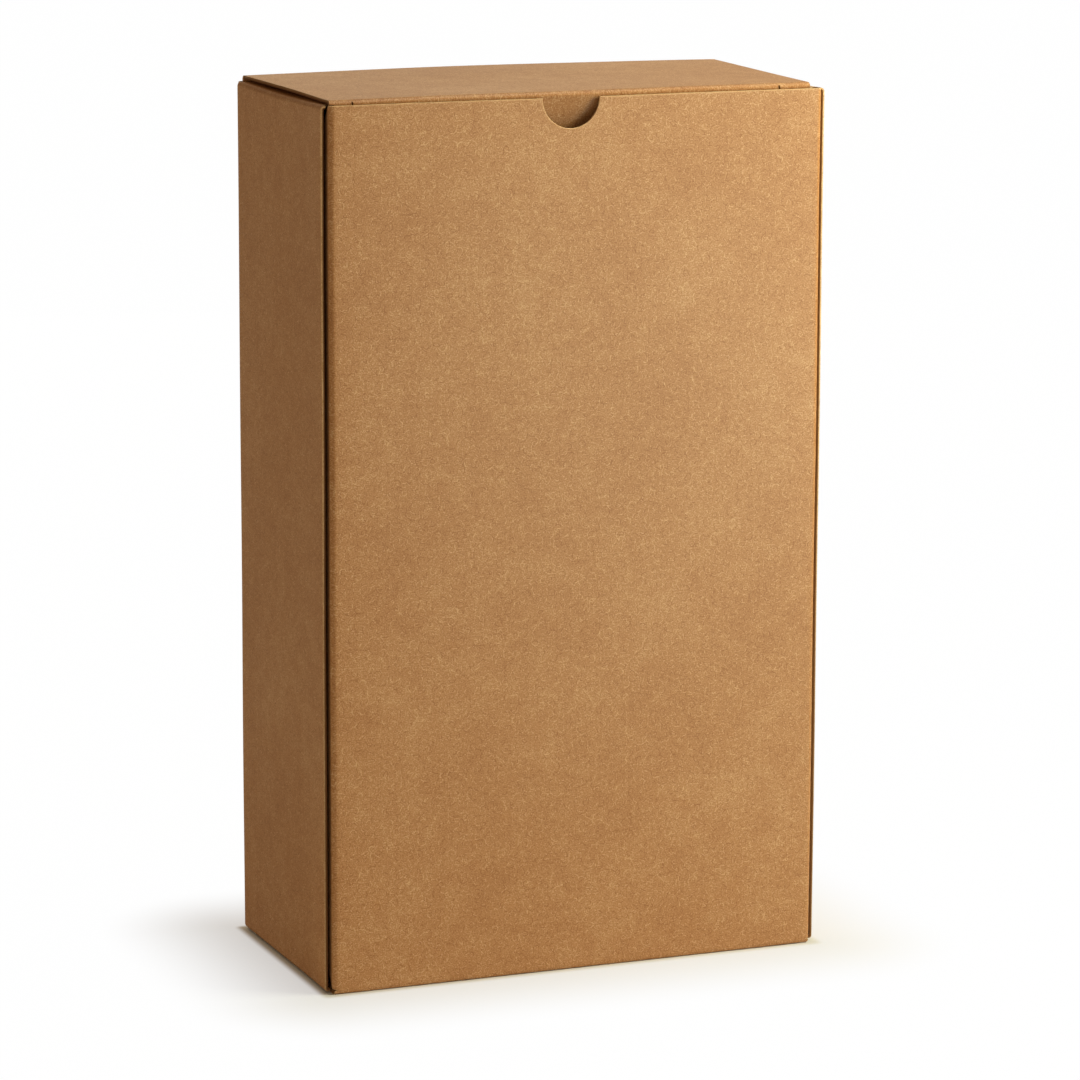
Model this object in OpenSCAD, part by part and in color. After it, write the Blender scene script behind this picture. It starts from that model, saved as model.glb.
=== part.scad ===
// Tall tuck-top carton, folded from one sheet of plain kraft board.
// X runs across the front, Y from the front to the back and Z up. The origin is the middle of the base.

/* [Carton] */
// Width over the side walls
box_w = 204; // [160:1:260]
// Depth from the front wall to the back wall
box_d = 102; // [80:1:140]
// Height over the closed lid
box_h = 341; // [200:1:420]

/* [Board] */
// Thickness of the board
board = 1.2; // [0.8:0.1:1.6]
// Outside radius of the folds between walls, flaps and base
fold_r = 1.7; // [1.7:0.1:2.4]
// Gap between two layers of board that lie on each other
lay_gap = 0.2; // [0.1:0.05:0.4]

/* [Walls] */
// How far the free front edges of the side walls stand behind the front
side_setback = 3; // [1:0.5:6]
// Gap between a side wall and the front wall's flap behind it
seam_gap = 0.8; // [0.4:0.1:1.6]
// Drop from the top of the lid to the cut edge of the front wall
front_drop = 2.2; // [1.6:0.1:4]
// Gap between the lid and the dust flaps under it
lid_gap = 1.0; // [0.5:0.1:2]
// How far each cut side of the base stands inside the side walls
base_inset = 2.2; // [1:0.1:5]

/* [Flaps] */
// Depth of the two flaps at the sides of the front wall, inside the box
side_flap = 22; // [12:1:35]
// Height over which the ends of those flaps are bevelled
flap_bevel = 14; // [8:1:25]
// Length of the dust flaps, above and below
dust_flap = 60; // [30:1:70]
// Clearance of the dust flaps behind the inner face of the front wall
dust_front = 7; // [3:0.5:10]
// Clearance of the dust flaps before the inner face of the back wall
dust_back = 1.5; // [0.5:0.5:5]
// Taper of each dust flap's front edge from its fold to its end
dust_taper = 9; // [2:1:20]
// Radius of the corners at the end of a dust flap
dust_corner = 8; // [2:1:15]
// Height of the open relief at each bottom corner of the front
corner_relief = 2.1; // [1.5:0.1:4]

/* [Lid] */
// Inset of the lid's cut sides from the outside of the box, at the hinge
lid_inset = 2.5; // [2:0.5:8]
// Further inset of the lid's right side at the front, where it is trimmed at a slant
lid_trim = 4; // [0:0.5:6]
// Outside radius of the fold between lid and tuck flap
lid_fold_r = 1.9; // [1.7:0.1:2.6]
// Depth of the tuck flap below that fold
tuck_depth = 25; // [15:1:32]
// Lean of the tuck flap into the box, in degrees from upright
tuck_slant = 16; // [10:1:20]
// Clearance between the tuck flap and the front wall
tuck_gap = 0.4; // [0.3:0.05:1]
// Clearance between the tuck flap's sides and the front wall's flaps
tuck_side = 1; // [0.5:0.1:3]
// Radius of the tuck flap's lower corners
tuck_corner = 13; // [4:1:14]
// Length of the lock slit at the left end of the lid's front fold
slit_left = 9; // [4:1:20]
// Length of the lock slit at the right end of the lid's front fold
slit_right = 13; // [4:1:20]
// Depth of the lock slits below the end of the fold, behind the front wall
slit_drop = 1; // [0.5:0.1:3]
// Width of a lock slit
slit_gap = 0.3; // [0.2:0.05:0.6]
// Clearance round the hinge crease
hinge_gap = 0.2; // [0.1:0.05:0.3]

/* [Thumb notch] */
// Radius of the half-round notch in the front wall's top edge
notch_r = 11.6; // [8:0.1:16]
// How far the notch's middle lies to the left of the middle of the box
notch_shift = 4; // [0:1:20]

/* [Hidden] */
$fn = 48;
kraft = [0.73, 0.55, 0.37];
kraft_lid = [0.76, 0.59, 0.43];
cut = 1;

half_w = box_w / 2;
half_d = box_d / 2;
// Outer faces of the front wall's flaps
front_half = half_w - board - seam_gap;
front_top = box_h - front_drop;
front_inner = -half_d + board;
back_inner = half_d - board;
// The side walls stand on the base by the folds of their lower dust flaps
side_bottom = board + lay_gap;
side_top = box_h - board - lid_gap;
side_front = -half_d + side_setback;
side_back = half_d - fold_r;
// The hinge is the crease between back wall and lid, in the middle of the board
hinge_y = half_d - board / 2;
hinge_z = box_h - board / 2;
hinge_half = half_w - lid_inset;
lid_back = hinge_y - board / 2 - hinge_gap;
// Middle of the front fold of the lid, and the face of the tuck flap nearest to the front wall
tuck_face = front_inner + tuck_gap;
fold_y = tuck_face + lid_fold_r;
fold_z = box_h - lid_fold_r;
// The tuck flap leans in by no less than what its lower edge needs to swing past the front wall
tuck_reach = hinge_y - tuck_face;
tuck_lean = max(tuck_slant, asin((tuck_depth / 2 + hinge_z - fold_z) / tuck_reach) + 0.5);
tuck_bottom = fold_z - lid_fold_r * sin(tuck_lean) - tuck_depth * cos(tuck_lean);
tuck_left = -front_half + board + tuck_side;
tuck_right = -tuck_left - lid_trim;

// A rectangle with its four corners rounded
module rounded(w, d, r) {
    translate([r, 0]) square([w - 2 * r, d]);
    translate([0, r]) square([w, d - 2 * r]);
    for (x = [r, w - r], y = [r, d - r]) translate([x, y]) circle(r);
}

// Board bent round three sides of a rectangle, cut off at the given length of its two arms
module bent_board(w, d, arm) {
    intersection() {
        difference() {
            rounded(w, d, fold_r);
            translate([board, board]) rounded(w - 2 * board, d - 2 * board, fold_r - board);
        }
        square([w, arm]);
    }
}

// A profile drawn in Y and Z, carried along X from one place to another
module along_x(from, to) {
    translate([from, 0, 0]) rotate([90, 0, 90]) linear_extrude(to - from) children();
}

// A profile drawn in X and Z, carried along Y from one place to another
module along_y(from, to) {
    translate([0, to, 0]) rotate([90, 0, 0]) linear_extrude(to - from) children();
}

// Back wall with the two vertical folds to the side walls
module back_wall() {
    translate([0, 0, side_bottom]) linear_extrude(side_top - side_bottom)
        mirror([0, 1]) translate([-half_w, -half_d]) bent_board(box_w, box_d, fold_r);
    translate([-hinge_half, back_inner, side_top - cut])
        cube([2 * hinge_half, board, hinge_z - side_top + cut]);
    along_x(-hinge_half, hinge_half) translate([hinge_y, hinge_z]) circle(board / 2);
}

// Outline of one dust flap from above, for the left side: its front edge tapers and its end is rounded
module dust_outline() {
    front = front_inner + dust_front;
    back = back_inner - dust_back;
    end = -half_w + dust_flap;
    difference() {
        polygon([
            [-half_w - cut, front], [-half_w + fold_r, front], [end, front + dust_taper],
            [end, back], [-half_w - cut, back]
        ]);
        translate([end - dust_corner, back - dust_corner]) difference() {
            square(dust_corner + cut);
            circle(dust_corner);
        }
    }
}

// Left side wall with its upper and lower dust flap, one strip of board bent twice
module side_wall() {
    difference() {
        along_y(side_front, side_back) translate([-half_w, side_bottom]) rotate(90) mirror([0, 1])
            bent_board(side_top - side_bottom, box_w, dust_flap);
        // Only the dust flaps themselves are trimmed, not the wall and its folds
        for (z = [side_bottom - cut, side_top - board - cut])
            translate([0, 0, z]) linear_extrude(board + 2 * cut) difference() {
                translate([-half_w + fold_r, -half_d]) square([dust_flap, box_d]);
                dust_outline();
            }
    }
}

// Front wall with its two flaps: they fold back inside the side walls and are bevelled at both ends
module front_wall() {
    difference() {
        translate([-front_half, -half_d, corner_relief])
            linear_extrude(front_top - corner_relief) bent_board(2 * front_half, box_d, side_flap);
        for (side = [-1, 1])
            along_x(side * (front_half - board / 2) - board, side * (front_half - board / 2) + board) {
                bevel_cut(front_top, -1);
                bevel_cut(corner_relief, 1);
            }
        translate([-notch_shift, 0, front_top]) along_y(-half_d - cut, front_inner + cut) circle(notch_r);
    }
}

// Corner taken off one end of a front flap: up is 1 at its lower end and -1 at its upper end
module bevel_cut(z, up) {
    start = -half_d + fold_r;
    end = -half_d + side_flap;
    polygon([
        [start, z - up * cut], [start, z], [start + flap_bevel / 3, z + up * flap_bevel / 2],
        [end + cut, z + up * flap_bevel], [end + cut, z - up * cut]
    ]);
}

// Base with its folds up to the front wall and to the back wall
module base() {
    along_x(-front_half + board / 2, front_half - board / 2)
        intersection() {
            base_profile();
            translate([-half_d, 0]) square([half_d, fold_r + corner_relief]);
        }
    along_x(-half_w + base_inset, half_w - base_inset)
        intersection() {
            base_profile();
            translate([-half_d + fold_r, 0]) square([box_d, fold_r + side_bottom]);
        }
}

module base_profile() {
    translate([-half_d, 0]) bent_board(box_d, box_h, fold_r + corner_relief + side_bottom);
}

module carton_body() {
    color(kraft) {
        back_wall();
        side_wall();
        mirror([1, 0, 0]) side_wall();
        front_wall();
        base();
    }
}

// Lid, front fold and tuck flap in profile, drawn in Y and Z
module lid_profile() {
    translate([fold_y, box_h - board]) square([lid_back - fold_y, board]);
    translate([fold_y, fold_z]) {
        intersection() {
            difference() {
                circle(lid_fold_r);
                circle(lid_fold_r - board);
            }
            for (turn = [0, tuck_lean]) rotate(turn)
                translate([-2 * lid_fold_r, 0]) square(2 * lid_fold_r);
        }
        rotate(tuck_lean) translate([-lid_fold_r, -tuck_depth]) square([board, tuck_depth]);
    }
}

// Lid from above: its right side is trimmed at a slant towards the front
module lid_outline() {
    polygon([
        [-hinge_half, lid_back + cut], [-hinge_half, tuck_face - cut],
        [hinge_half - lid_trim, tuck_face - cut], [hinge_half, lid_back + cut]
    ]);
}

// Tuck flap from the front, with both lower corners rounded off
module tuck_outline() {
    w = tuck_right - tuck_left;
    h = fold_z - tuck_bottom;
    translate([tuck_left, tuck_bottom - cut / 4]) {
        translate([0, tuck_corner]) square([w, h - tuck_corner]);
        translate([tuck_corner, 0]) square([w - 2 * tuck_corner, h]);
        for (x = [tuck_corner, w - tuck_corner]) translate([x, tuck_corner]) circle(tuck_corner);
    }
}

module lid() {
    fold_end = fold_z - slit_gap;
    color(kraft_lid) difference() {
        intersection() {
            along_x(-hinge_half - cut, hinge_half + cut) lid_profile();
            union() {
                translate([0, 0, fold_end]) linear_extrude(box_h - fold_end + cut) lid_outline();
                along_y(-half_d, half_d) tuck_outline();
            }
        }
        // Lock slits part both ends of the fold from the tuck flap
        for (x = [-hinge_half - cut, hinge_half - lid_trim - slit_right])
            translate([x, -half_d, fold_end - slit_drop])
                cube([x < 0 ? slit_left + cut : slit_right + lid_trim + cut, box_d / 4, slit_gap]);
    }
}

carton_body();
lid();
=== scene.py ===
# %% [markdown]
# A tall tuck-top carton
#
# The real carton is one sheet of plain kraft board, cut, creased and folded round. Everything that the eye
# reads is in the sheet itself: the round of each crease, the raw cut edges, the narrow dark seams where
# two flaps lie side by side, and the fibres of the paper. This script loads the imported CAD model, which
# holds the sizes and the hinge of the lid, and builds the same sheet again as fine surfaces with numpy.

import math

import bpy
import numpy as np
from mathutils import Matrix, Vector


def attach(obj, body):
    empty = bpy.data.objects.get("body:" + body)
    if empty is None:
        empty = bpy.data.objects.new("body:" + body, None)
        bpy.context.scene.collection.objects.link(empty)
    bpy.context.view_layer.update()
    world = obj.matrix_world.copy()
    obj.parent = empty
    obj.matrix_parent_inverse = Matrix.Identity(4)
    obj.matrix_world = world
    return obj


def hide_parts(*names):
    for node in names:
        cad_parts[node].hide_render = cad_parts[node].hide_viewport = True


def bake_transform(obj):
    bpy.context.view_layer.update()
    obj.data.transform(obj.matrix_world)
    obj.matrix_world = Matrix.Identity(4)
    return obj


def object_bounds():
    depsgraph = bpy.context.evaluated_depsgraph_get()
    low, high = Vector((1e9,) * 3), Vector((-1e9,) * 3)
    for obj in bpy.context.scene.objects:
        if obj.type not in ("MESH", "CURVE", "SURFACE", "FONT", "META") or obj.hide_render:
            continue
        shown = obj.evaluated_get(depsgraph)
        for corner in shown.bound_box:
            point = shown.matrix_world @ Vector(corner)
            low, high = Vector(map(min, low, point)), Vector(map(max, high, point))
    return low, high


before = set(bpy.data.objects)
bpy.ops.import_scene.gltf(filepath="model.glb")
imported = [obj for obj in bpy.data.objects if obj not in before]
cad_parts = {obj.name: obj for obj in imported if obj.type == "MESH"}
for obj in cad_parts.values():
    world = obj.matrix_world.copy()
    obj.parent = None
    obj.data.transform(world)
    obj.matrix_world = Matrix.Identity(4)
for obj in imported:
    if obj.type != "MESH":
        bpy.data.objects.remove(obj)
cad_low, cad_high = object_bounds()
print("CAD box in mm:", [round(1000 * (high - low), 2) for low, high in zip(cad_low, cad_high)])

# %% [markdown]
# The camera
#
# A product photograph like this is taken with a long lens, a little from the left and a little from above.
# The camera is given by where it stands and by three angles: yaw turns it to the right, pitch tips it down
# and roll tilts it. A long lens keeps the upright edges almost parallel.

# %% Camera
CAMERA_PLACE = (-0.6737, -1.6722, 0.5151)
CAMERA_YAW = 22.081
CAMERA_PITCH = 11.134
CAMERA_ROLL = 0.208
CAMERA_LENS = 156.31


def new_object(name, data):
    """An object in the scene that shows some data."""
    made = bpy.data.objects.new(name, data)
    bpy.context.scene.collection.objects.link(made)
    return made


def camera_matrix(place, yaw, pitch, roll):
    """The camera's own right, up and backward directions as the columns of a matrix, then its place."""
    yaw, pitch, roll = (math.radians(angle) for angle in (yaw, pitch, roll))
    forward = Vector((math.sin(yaw) * math.cos(pitch), math.cos(yaw) * math.cos(pitch), -math.sin(pitch)))
    right = Vector((math.cos(yaw), -math.sin(yaw), 0.0))
    up = right.cross(forward)
    tilted_right = right * math.cos(roll) + up * math.sin(roll)
    tilted_up = up * math.cos(roll) - right * math.sin(roll)
    turned = Matrix((tilted_right, tilted_up, -forward)).transposed()
    return Matrix.Translation(place) @ turned.to_4x4()


camera_data = bpy.data.cameras.new("camera")
camera = new_object("camera", camera_data)
camera_data.lens = CAMERA_LENS
camera_data.sensor_width = 36.0
camera.matrix_world = camera_matrix(CAMERA_PLACE, CAMERA_YAW, CAMERA_PITCH, CAMERA_ROLL)
bpy.context.scene.camera = camera
print("camera stands", round((camera.location - Vector((0, 0, 0.17))).length, 3), "m from the carton")

# %% [markdown]
# Sizes of the sheet
#
# All sizes are in millimetres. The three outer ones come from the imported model's box, and the others repeat
# the values of the CAD source. A sheet is built as the surface in the middle of the board, half a thickness
# behind its outer face, and gets its thickness at the end, so the folds have that middle surface's radius.

# %% Sizes in millimetres
BOX_W, BOX_D, BOX_H = (round(1000 * (high - low), 2) for low, high in zip(cad_low, cad_high))
BOARD = 1.2
SEAM_GAP, FRONT_DROP, LAY_GAP = 0.8, 2.2, 0.2
SIDE_SETBACK, BASE_INSET, LID_INSET = 3.0, 2.2, 2.5
HALF_BOARD = BOARD / 2
FOLD = 1.7 - HALF_BOARD
LID_FOLD = 1.9 - HALF_BOARD
QUARTER = math.pi / 2
FOLD_LENGTH = FOLD * QUARTER

SIDE_X = BOX_W / 2 - HALF_BOARD
BACK_Y = BOX_D / 2 - HALF_BOARD
FRONT_Y = -BACK_Y
FLAP_X = BOX_W / 2 - BOARD - SEAM_GAP - HALF_BOARD
BASE_Z = HALF_BOARD
LID_Z = BOX_H - HALF_BOARD
TOP_CUT = BOX_H - FRONT_DROP
DUST_TOP = TOP_CUT - HALF_BOARD
DUST_LOW = BOARD + LAY_GAP + HALF_BOARD

# The front wall's upright folds start softly: they are wider than deep
BEND_WIDE, BEND_DEEP = 1.5, 1.1
BACK_X = SIDE_X - FOLD
FRONT_X = FLAP_X - BEND_WIDE
FOLD_Y = BACK_Y - FOLD
SIDE_LOW = DUST_LOW + FOLD
SIDE_HIGH = DUST_TOP - FOLD
BASE_FOLD_Z = BASE_Z + FOLD
CREST_Z = LID_Z - FOLD

# Free front edge of the side walls, half widths of the back wall's crest and of the base, and the height
# at which the front wall's flaps begin
SIDE_FRONT = SIDE_SETBACK - BOX_D / 2
CREST_X = BOX_W / 2 - LID_INSET - 0.1
BASE_X = BOX_W / 2 - BASE_INSET
CORNER_LOW = 2.1
print("middle surfaces: side", SIDE_X, "back", BACK_Y, "front flap", FLAP_X, "lid", LID_Z)

# %% [markdown]
# Patches of one sheet
#
# A carton is flat panels joined by quarter-round creases. Each panel or crease is a patch: a grid of points
# in rows and columns. With every point goes its place on the flat blank, so that the fibres of the paper
# run on over a crease as they do in the real board. A last number makes the paper paler above 0 and darker
# below 0: paler where a fold stretches it, and as a painted highlight along rims; darker as painted shade in
# seams, on shaded folds and flaps and on cut edges. Neighbouring patches use the same grid lines where they
# meet, so equal points become one.

# %% Helpers for patches
WELD = 0.002


def line(*stops):
    """Numbers from the first stop to the last: each pair (end, steps) adds that many equal steps."""
    values = np.array([stops[0]], float)
    for end, steps in stops[1:]:
        values = np.concatenate([values, np.linspace(values[-1], end, steps + 1)[1:]])
    return values


def patch(x, y, z, u, v, crease=0.0):
    """A grid of points (x, y, z) with the flat place (u, v) and the value of fold paleness, painted highlight
    and painted shade, all broadcast.
    """
    grid = np.broadcast_arrays(*(np.asarray(value, float) for value in (x, y, z, u, v, crease)))
    return np.stack(grid, axis=-1)


def quads(rows, columns, start):
    """Corner numbers of all cells of a grid whose points are counted from start, row by row."""
    corner = start + np.arange(rows - 1)[:, None] * columns + np.arange(columns - 1)
    corner = corner.ravel()
    return np.stack([corner, corner + columns, corner + columns + 1, corner + 1], axis=1)


def join_patches(patches):
    """Puts the grids together, makes points at the same place one point, and drops cells of no area."""
    start, points, cells = 0, [], []
    for grid in patches:
        points.append(grid.reshape(-1, 6))
        cells.append(quads(grid.shape[0], grid.shape[1], start))
        start += grid.shape[0] * grid.shape[1]
    points, cells = np.concatenate(points), np.concatenate(cells)
    keys = np.round(points[:, :3] / WELD).astype(np.int64)
    first, same = np.unique(keys, axis=0, return_index=True, return_inverse=True)[1:]
    cells = same.reshape(-1)[cells]
    whole = (np.diff(np.sort(cells, axis=1), axis=1) > 0).all(axis=1)
    return points[first], cells[whole]


print("a fold of the board is", round(FOLD_LENGTH, 2), "mm long on the flat blank")

# %% [markdown]
# Hand-folded board is never quite flat
#
# The lid's crease rises a little in the middle, and the walls bow out by a hair. The side walls sag at the
# top, spring outwards at their free edges and settle at the foot, the lid's left front corner droops, the
# front wall has round shoulders beside its upright folds, and no cut is dead straight. Moving each panel by
# itself would open the joints, so one smooth field of small shifts is laid over the whole carton.

# %% Small shifts of the whole sheet
CREST_RISE = 0.85
WALL_BOW = 0.3
WAVE = 0.06
SIDE_SAG = 0.8
FOOT_SAG = 0.9
EDGE_FLARE = 0.35
LID_DROOP = 0.4
SHOULDER = 0.25


def ramp(value, start, end):
    """0 before start, 1 after end, and a smooth step between them."""
    share = np.clip((value - start) / (end - start), 0.0, 1.0)
    return share * share * (3 - 2 * share)


def shifted(points):
    """Adds products of half waves and of ramps between two places in mm, and a slow wave."""
    x, y, z = points[:, 0], points[:, 1], points[:, 2]
    arch = 1 - np.clip(np.abs(x) / (BOX_W / 2), 0, 1) ** 2
    upright = np.sin(np.pi * np.clip(z / BOX_H, 0, 1))
    across = np.cos(np.pi * np.clip(x / BOX_W, -0.5, 0.5))
    deep = np.cos(np.pi * np.clip(y / BOX_D, -0.5, 0.5))
    out_y = np.sign(y) * ramp(np.abs(y), 44, 50) * WALL_BOW * across * upright
    out_x = np.sign(x) * ramp(np.abs(x), 94, 101) * WALL_BOW * deep * upright
    rise = CREST_RISE * arch * ramp(y, -10, 50) * ramp(z, 300, 339)
    across_depth = np.sin(np.pi * np.clip((y + BOX_D / 2) / BOX_D, 0, 1))
    below_lid = 1 - ramp(z, 338.9, 339.8)
    sag = SIDE_SAG * across_depth * ramp(np.abs(x), 50, 100) * ramp(z, 250, 337) * below_lid
    droop = LID_DROOP * ramp(-x, 40, 100) * ramp(-y, 0, 48) * ramp(z, 339, 339.8)
    shoulder = SHOULDER * ramp(np.abs(x), 90, 100) ** 2 * ramp(-y, 40, 48)
    flare = EDGE_FLARE * np.sign(x) * ramp(np.abs(x), 99.7, 101.2) * ramp(-y, 20, 48)
    settle = FOOT_SAG * ramp(np.abs(x), 99.9, 101.2) * ramp(z, 1.0, 2.0) * (1 - ramp(z, 3, 14))
    wave_x = WAVE * np.sin(z / 23 + y / 31) * ramp(np.abs(x), 80, 100)
    wave_y = WAVE * np.sin(z / 29 + x / 37 + 1.3) * ramp(np.abs(y), 40, 50)
    wave_z = WAVE * np.sin(x / 19 + y / 27 + 0.6) * ramp(z, 300, 339)
    moved = points.copy()
    moved[:, 0] += out_x + wave_x + flare
    moved[:, 1] += out_y + wave_y + shoulder
    moved[:, 2] += rise + wave_z - sag - droop - settle
    return moved


crest_middle = shifted(np.array([[0.0, BACK_Y, LID_Z]]))[0]
print("the middle of the lid's crease rises by", round(crest_middle[2] - LID_Z, 2), "mm")

# %% [markdown]
# From arrays to a Blender mesh
#
# Blender could take a mesh point by point, but whole arrays go in much faster with foreach_set. The place
# on the flat blank goes along as an attribute for the materials. Edges between a face of the board and its
# cut are marked sharp, so that smooth shading doesn't smear the light round them.

# %% Fill a mesh
MM = 0.001


def fill_mesh(name, places, flat, cells, slots, sharp=()):
    """A new object whose mesh has points in metres, four-cornered cells, their material and sharp edges."""
    mesh = bpy.data.meshes.new(name)
    mesh.vertices.add(len(places))
    mesh.vertices.foreach_set("co", (places * MM).ravel())
    mesh.loops.add(cells.size)
    mesh.loops.foreach_set("vertex_index", cells.ravel())
    mesh.polygons.add(len(cells))
    mesh.polygons.foreach_set("loop_start", np.arange(len(cells)) * 4)
    mesh.polygons.foreach_set("material_index", slots)
    mesh.polygons.foreach_set("use_smooth", np.ones(len(cells), bool))
    mesh.update(calc_edges=True)
    blank = mesh.attributes.new("blank", "FLOAT_VECTOR", "POINT")
    blank.data.foreach_set("vector", (flat * (MM, MM, 1.0)).ravel())
    if len(sharp):
        ends = np.zeros(len(mesh.edges) * 2, int)
        mesh.edges.foreach_get("vertices", ends)
        ends = np.sort(ends.reshape(-1, 2), axis=1) @ (len(places), 1)
        wanted = np.sort(np.asarray(sharp), axis=1) @ (len(places), 1)
        mark = mesh.attributes.new("sharp_edge", "BOOLEAN", "EDGE")
        mark.data.foreach_set("value", np.isin(ends, wanted))
    mesh.validate()
    print(name, "has", len(places), "points and", len(cells), "cells")
    return new_object(name, mesh)


print("one unit of Blender's is", round(1 / MM), "mm")

# %% [markdown]
# Which side is out
#
# Blender can make all cells of a sheet face one way, but an open sheet doesn't tell which side is the
# outer one. So the cell nearest to a place whose outer side is known decides for all of them.

# %% Turn the cells outwards
import bmesh


def outward(cells, places, at, towards):
    """The cells with their corners in an order that makes the cell nearest to a place face a direction."""
    sheet = bpy.data.meshes.new("sheet")
    sheet.from_pydata(places.tolist(), [], cells.tolist())
    work = bmesh.new()
    work.from_mesh(sheet)
    bmesh.ops.recalc_face_normals(work, faces=work.faces)
    work.to_mesh(sheet)
    work.free()
    turned = np.zeros(cells.size, int)
    sheet.loops.foreach_get("vertex_index", turned)
    bpy.data.meshes.remove(sheet)
    turned = turned.reshape(cells.shape)
    corners = places[turned]
    nearest = np.linalg.norm(corners.mean(axis=1) - at, axis=1).argmin()
    one, two, three, four = corners[nearest]
    if np.cross(three - one, four - two) @ towards < 0:
        turned = turned[:, [0, 3, 2, 1]]
    return turned


print("cells can be turned outwards")

# %% [markdown]
# The thickness of the board
#
# Solidify and Bevel could thicken the sheet, but where three folds meet in a crushed corner they throw
# spikes. So every point of the middle surface gives one point outside and one inside here, half a thickness
# along its normal. Along the cut edges a short profile joins the two and rounds both corners a little, as
# a die does. A cut's outer ply is pale. Its inner plies are dark, partly the board's darker core and partly
# painted shade of the narrow gaps beside the cuts. Low down the pale ply is darkened too, a painted shade for
# the weaker light there.

# %% Give the sheet its thickness
EDGE_ROUND = 0.16
# Painted shade: of a cut's inner plies, and of its pale ply low on the carton, fading out between two heights
# in mm
EDGE_SHADE, EDGE_LOW_SHADE = -1.0, -0.5
LOW_SHADE_BOTTOM, LOW_SHADE_TOP = 60, 320
SHORT, MOST_REACH = 1e-9, 1.4
OUTSIDE, INSIDE, CUT = 0, 1, 2
# Rings of the cut edge from the outer to the inner face: height along the normal, and reach outwards
RING_SIDE = np.array([1, 1, 1, -1, -1, -1])
RING_HEIGHT = RING_SIDE * HALF_BOARD - EDGE_ROUND * np.array([0, 0.3, 1, -1, -0.3, 0])
RING_REACH = -EDGE_ROUND * np.array([1, 0.3, 0, 0, 0.3, 1])


def unit(vectors):
    """Vectors of length 1, or 0 where there is no direction."""
    length = np.linalg.norm(vectors, axis=-1, keepdims=True)
    return vectors / np.maximum(length, SHORT)


def summed(count, numbers, vectors):
    """For every point the sum of the vectors that name it."""
    total = np.zeros((count, 3))
    np.add.at(total, numbers, vectors)
    return total


def cut_reach(count, rim, away):
    """For every point of a cut edge the step out of the sheet: the sum of the directions of its two edges,
    made longer where they meet at an angle, and none at the blind end of a slit."""
    reach = summed(count, rim.ravel(), np.repeat(away, 2, axis=0))
    size = np.maximum(np.linalg.norm(reach, axis=1, keepdims=True), SHORT)
    return np.where(size > 0.5, reach / size * np.minimum(2 / size, MOST_REACH), 0)


def board_piece(name, patches, at, towards):
    """A folded piece of board: the joined middle surface, moved half a thickness along its normals to both
    sides, and four rings of points between the two along the cut edges."""
    points, cells = join_patches(patches)
    places, flat = shifted(points[:, :3]), points[:, 3:6]
    cells = outward(cells, places, at, towards)
    count = len(places)
    across = places[cells[:, 2]] - places[cells[:, 0]], places[cells[:, 3]] - places[cells[:, 1]]
    cell_normal = unit(np.cross(*across))
    normal = unit(summed(count, cells.ravel(), np.repeat(cell_normal, 4, axis=0)))
    # Boundary edges are those whose opposite direction isn't in any cell
    edges = np.stack([cells, np.roll(cells, -1, axis=1)], axis=2).reshape(-1, 2)
    owner = np.repeat(np.arange(len(cells)), 4)
    lone = ~np.isin(edges @ (count, 1), edges[:, ::-1] @ (count, 1))
    rim, rim_cell = edges[lone], owner[lone]
    away = unit(np.cross(places[rim[:, 1]] - places[rim[:, 0]], cell_normal[rim_cell]))
    reach = cut_reach(count, rim, away)
    ring = np.unique(rim)
    place_in_ring = np.zeros(count, int)
    place_in_ring[ring] = np.arange(len(ring))
    everything = [places + normal * RING_HEIGHT[k] + reach * RING_REACH[k] for k in (0, -1)]
    numbers = [np.arange(count)]
    for k in range(1, 5):
        everything.append(places[ring] + normal[ring] * RING_HEIGHT[k] + reach[ring] * RING_REACH[k])
        numbers.append(2 * count + (k - 1) * len(ring) + place_in_ring)
    numbers.append(count + np.arange(count))
    first, second = rim[:, 0], rim[:, 1]
    strips = []
    for upper, lower in zip(numbers[:-1], numbers[1:]):
        strips.append(np.stack([upper[second], upper[first], lower[first], lower[second]], axis=1))
    all_cells = np.concatenate([cells, cells[:, ::-1] + count] + strips)
    slots = np.repeat([OUTSIDE, INSIDE, CUT], [len(cells), len(cells), 5 * len(rim)])
    # Painted shade along the cut edges: the pale ply darkens low on the carton, and the inner plies are dark
    low_shade = EDGE_LOW_SHADE * (1 - ramp(places[ring, 2:], LOW_SHADE_BOTTOM, LOW_SHADE_TOP))
    pale_ring = np.concatenate([flat[ring, :2], low_shade], axis=1)
    dark_ring = np.concatenate([flat[ring, :2], 0 * low_shade + EDGE_SHADE], axis=1)
    everything = np.concatenate(everything)
    blank = np.concatenate([flat, flat, pale_ring, pale_ring, dark_ring, dark_ring])
    return fill_mesh(name, everything, blank, all_cells, slots, np.concatenate([rim, rim + count]))


print("heights of a cut edge's rings:", RING_HEIGHT.round(2).tolist())

# %% [markdown]
# Grid lines that the patches share
#
# Patches weld only where their points lie at the same places, so panels that meet use the same rows and
# columns. Beside each fold is one narrow row, which keeps the shading of the flat panel from bleeding into
# the round.

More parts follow.
